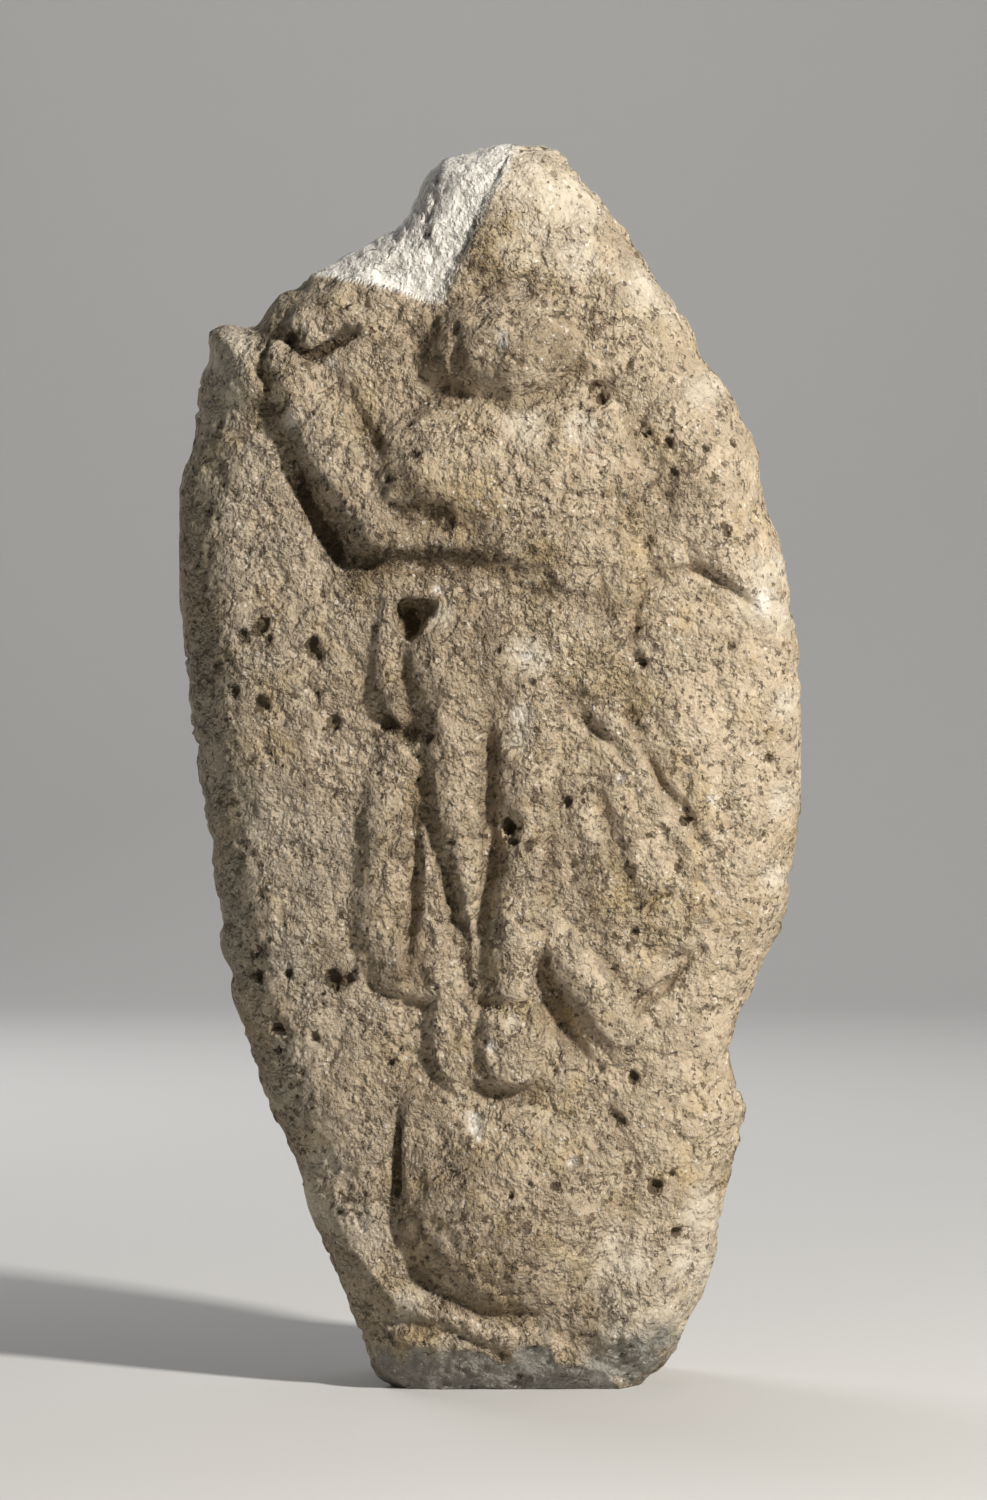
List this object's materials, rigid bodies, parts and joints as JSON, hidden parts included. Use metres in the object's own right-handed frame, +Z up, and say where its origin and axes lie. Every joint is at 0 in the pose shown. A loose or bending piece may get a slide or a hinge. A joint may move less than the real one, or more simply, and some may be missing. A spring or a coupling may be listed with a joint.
{
  "type": "carved stone relief fragment",
  "caption": "Upright broken slab of shelly limestone, its front carved in low relief with a worn winged woman standing on a globe; it stands on a flat underside.",
  "frame": {"origin": "on the floor, under the middle of the slab's bounding box", "axes": "+Z up along the figure, +X to the right of someone facing the carving, -Y out of the carved front"},
  "size_m": [0.3128, 0.1482, 0.6221],
  "materials": {
    "limestone": "rough, porous, unpolished"
  },
  "bodies": {
    "root": {"relief_slab": "limestone"}
  },
  "joints": []
}
